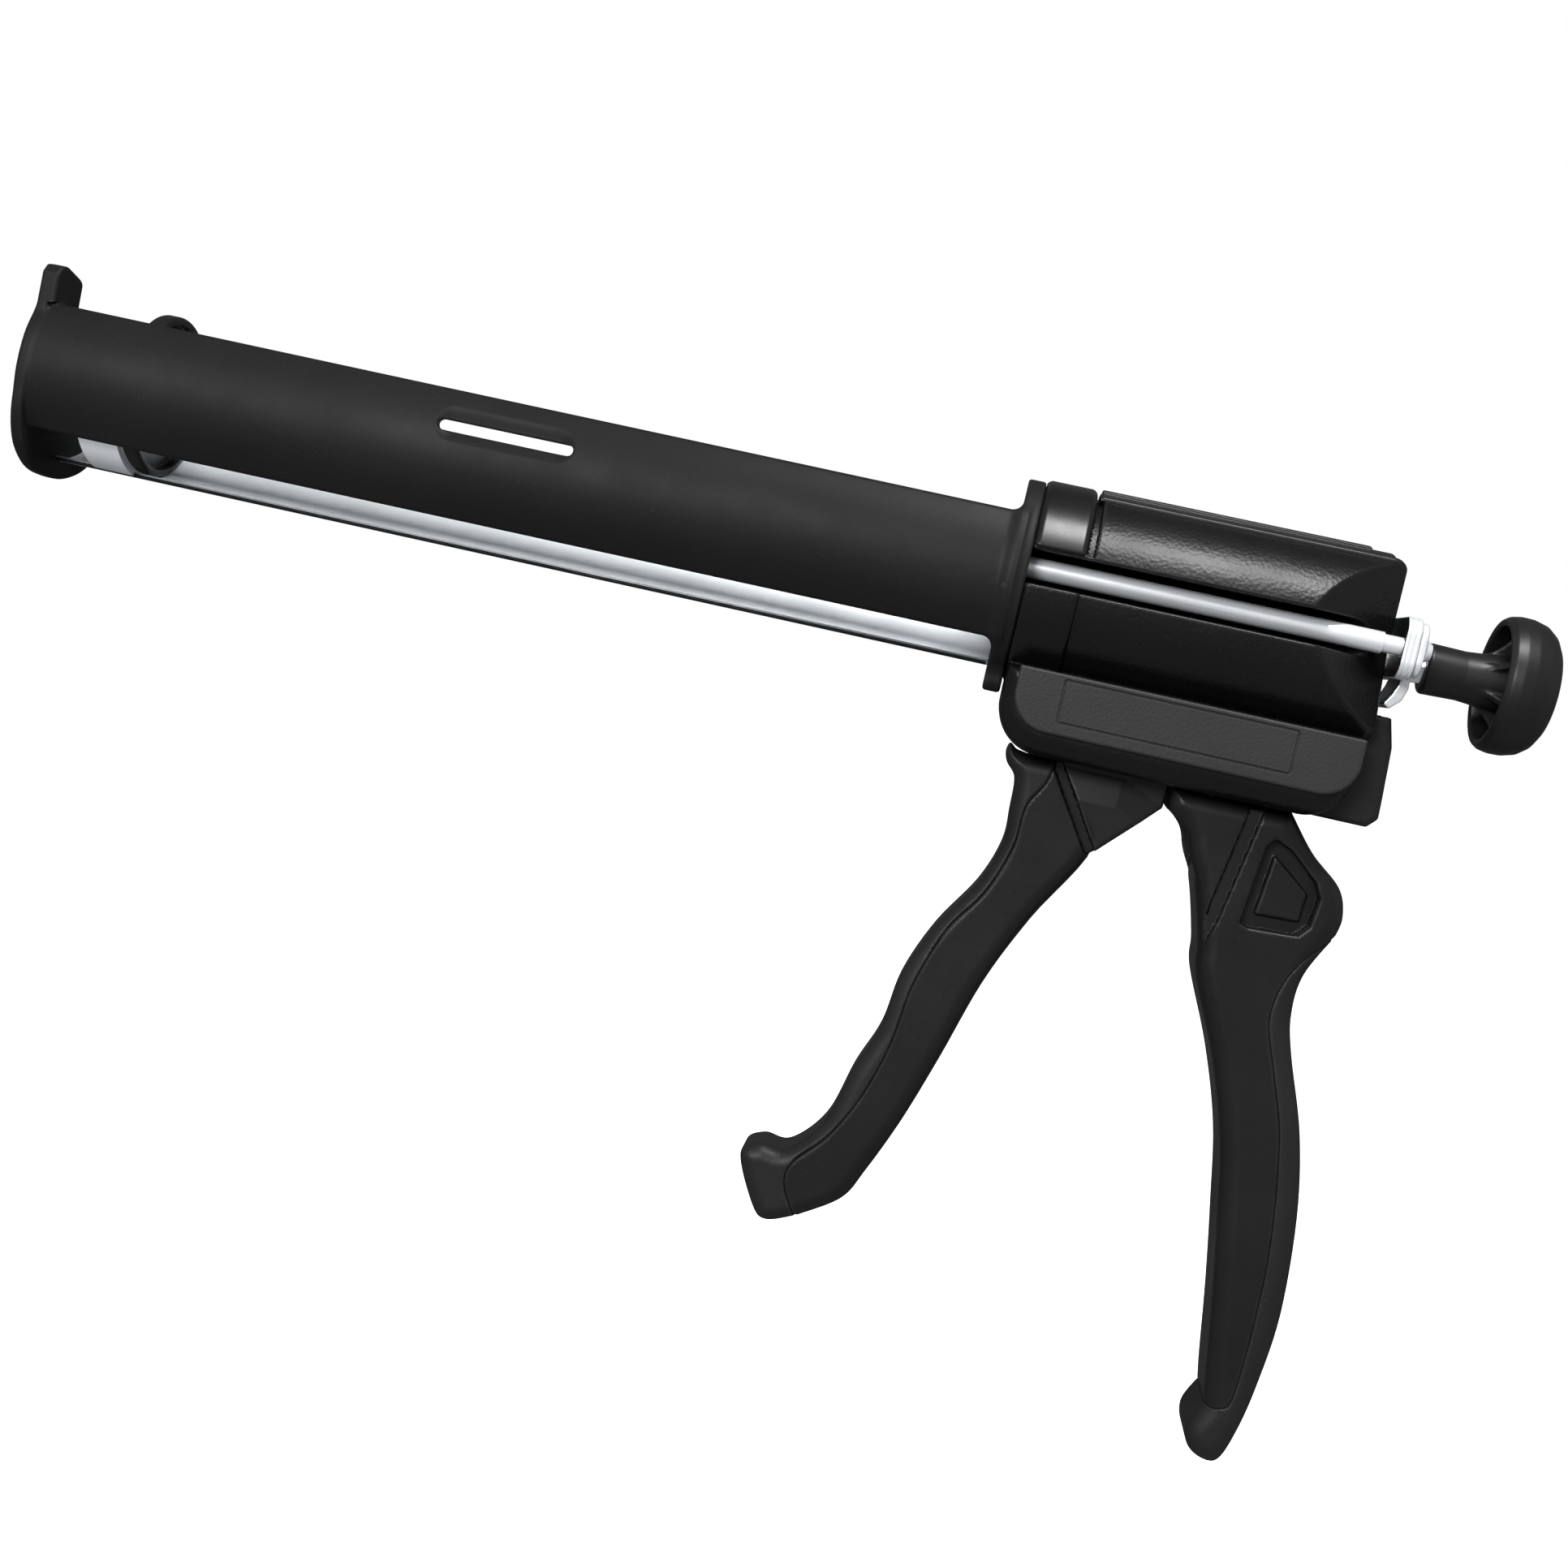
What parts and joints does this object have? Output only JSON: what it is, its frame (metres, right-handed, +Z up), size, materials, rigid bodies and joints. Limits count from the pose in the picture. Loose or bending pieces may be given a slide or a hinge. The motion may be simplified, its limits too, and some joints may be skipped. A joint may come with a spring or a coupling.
{
  "type": "caulking gun",
  "caption": "Caulking gun with an open trough carrier, a rod-driven plunger with guide rods, a squeeze trigger, a release lever and a round pull knob.",
  "frame": {"origin": "on the barrel axis, at the front face of the carrier's rear flange, where a cartridge's rear end sits", "axes": "+X along the barrel towards the pull knob, -X towards the nozzle, +Z up away from the handles, +Y towards the trough's open far side"},
  "size_m": [0.4389, 0.0612, 0.2608],
  "materials": {
    "moulding": "fine leather grain, satin black",
    "moulding_gloss": "smooth black with a slight sheen",
    "soft_grip": "soft black over-moulding, matt",
    "panel": "fine grain, dark grey black",
    "zinc": "bright zinc plate",
    "steel": "drawn bright steel",
    "spring": "oiled spring wire",
    "bronze": "sintered bushing"
  },
  "bodies": {
    "frame": {"carrier_wall": "moulding_gloss", "front_plate": "moulding_gloss", "rear_flange": "moulding_gloss", "trough": "zinc", "housing_left": "moulding", "housing_right": "moulding", "front_collar": "moulding", "top_rail": "moulding_gloss", "side_panel_left": "panel", "side_panel_right": "panel", "front_bushing": "bronze", "rear_bushing": "bronze", "grip_core": "moulding_gloss", "grip_pad": "soft_grip", "trigger_pin": "steel", "release_pin": "steel", "screw_1": "zinc", "screw_2": "zinc", "screw_3": "zinc", "screw_4": "zinc", "screw_5": "zinc", "screw_6": "zinc", "drive_spring": "spring", "brake_spring": "spring"},
    "plunger": {"drive_rod": "steel", "plunger_cup": "moulding_gloss", "plunger_bridge": "steel", "plunger_nut": "zinc", "guide_rod_left": "zinc", "guide_rod_right": "zinc", "rear_yoke": "zinc", "yoke_tail": "zinc", "yoke_rivet_left": "zinc", "yoke_rivet_right": "zinc", "rod_nut": "zinc", "knob": "moulding_gloss"},
    "trigger": {"trigger_core": "moulding_gloss", "trigger_pad": "soft_grip", "trigger_roller": "steel", "roller_pin": "steel"},
    "drive_plates": {"drive_plate_front": "zinc", "drive_plate_rear": "zinc"},
    "release": {"release_lever": "moulding_gloss"},
    "brake": {"brake_plate": "zinc"}
  },
  "joints": [
    {"name": "plunger_slide", "type": "slide", "parent": "frame", "child": "plunger", "axis": [1, 0, 0], "range_m": [-0.001, 0.245]},
    {"name": "trigger_pivot", "type": "hinge", "parent": "frame", "child": "trigger", "pos_m": [0.0495, 0, -0.034], "axis": [0, -1, 0], "range_deg": [0, 30], "stiffness_Nm_per_rad": 0.53, "springref_deg": -17.19},
    {"name": "drive_plate_slide", "type": "slide", "parent": "frame", "child": "drive_plates", "axis": [-1, 0, 0], "range_m": [0, 0.0113], "deforming": ["drive_spring"]},
    {"name": "release_pivot", "type": "hinge", "parent": "frame", "child": "release", "pos_m": [0.0965, 0, -0.041], "axis": [0, -1, 0], "range_deg": [0, 6], "stiffness_Nm_per_rad": 0.4, "springref_deg": -17.19},
    {"name": "brake_plate_tilt", "type": "hinge", "parent": "frame", "child": "brake", "pos_m": [0.09275, 0, 0.0145], "axis": [0, 1, 0], "range_deg": [0, 4], "deforming": ["brake_spring"]}
  ],
  "couplings": [
    {"joint": "drive_plate_slide", "follows": "trigger_pivot", "m_per_rad": 0.0214},
    {"joint": "brake_plate_tilt", "follows": "release_pivot", "ratio": 0.65}
  ]
}
